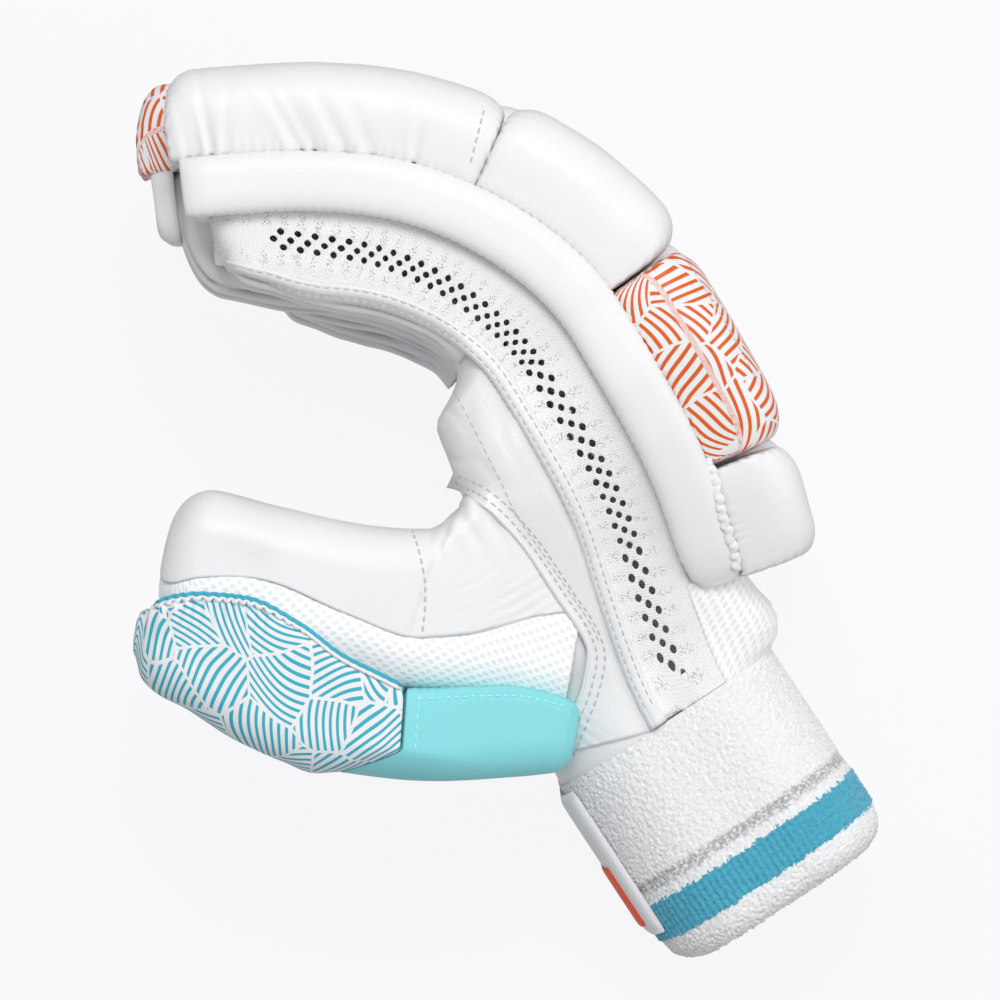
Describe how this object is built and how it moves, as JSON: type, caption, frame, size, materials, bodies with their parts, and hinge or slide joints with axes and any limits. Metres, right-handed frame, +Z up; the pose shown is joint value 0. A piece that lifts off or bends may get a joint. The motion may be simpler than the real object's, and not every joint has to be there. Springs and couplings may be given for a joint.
{
  "type": "cricket batting glove",
  "caption": "Right-hand padded batting glove lying on its little-finger side, with curled fingers, rolled finger padding, a hooded thumb and a towelling cuff.",
  "frame": {"origin": "middle of the footprint box, on the surface that the glove lies on", "axes": "+Z up, from the little-finger side to the thumb side; +Y from the cuff to the fingers; +X to the back of the hand"},
  "size_m": [0.2012, 0.3056, 0.1304],
  "materials": {
    "white_leather": "smooth white synthetic leather, satin",
    "palm_leather": "fine-grained white hide, matte",
    "perforated_knit": "white warp knit with punched eyelets",
    "airmesh": "white spacer mesh with oval dimples",
    "towelling": "white terry loops with a grey and a blue stripe",
    "strap_web": "white coated strap",
    "label_orange": "moulded orange panel, satin",
    "label_black": "moulded black panel, satin",
    "orange_print": "white synthetic leather with a printed orange hatch",
    "cyan_print": "white synthetic leather with a printed cyan hatch",
    "cyan_leather": "smooth cyan synthetic leather, satin"
  },
  "bodies": {
    "root": {"palm_leather": "palm_leather", "back_panel": "white_leather", "radial_gusset": "perforated_knit", "ulnar_gusset": "perforated_knit", "radial_hem": "palm_leather", "index_side_bar": "white_leather", "little_side_bar": "white_leather", "wrist_bellows": "airmesh", "cuff_band": "towelling", "wrist_strap": "strap_web", "strap_label_front": "label_orange", "strap_label_back": "label_black", "thumb_leather": "white_leather", "thumb_mesh": "airmesh", "thumb_tip_pad": "cyan_print", "thumb_base_pad": "cyan_leather", "index_sheath": "palm_leather", "index_tip_guard": "white_leather", "index_wrist_roll": "white_leather", "index_knuckle_roll": "orange_print", "index_mid_roll": "white_leather", "index_tip_roll": "white_leather", "middle_sheath": "palm_leather", "middle_tip_guard": "white_leather", "middle_wrist_roll": "white_leather", "middle_knuckle_roll": "white_leather", "middle_mid_roll": "white_leather", "middle_tip_roll": "orange_print", "ring_sheath": "palm_leather", "ring_tip_guard": "white_leather", "ring_wrist_roll": "white_leather", "ring_knuckle_roll": "white_leather", "ring_mid_roll": "white_leather", "ring_tip_roll": "white_leather", "little_sheath": "palm_leather", "little_tip_guard": "white_leather", "little_wrist_roll": "white_leather", "little_knuckle_roll": "white_leather", "little_mid_roll": "white_leather", "little_tip_roll": "white_leather"}
  },
  "joints": []
}
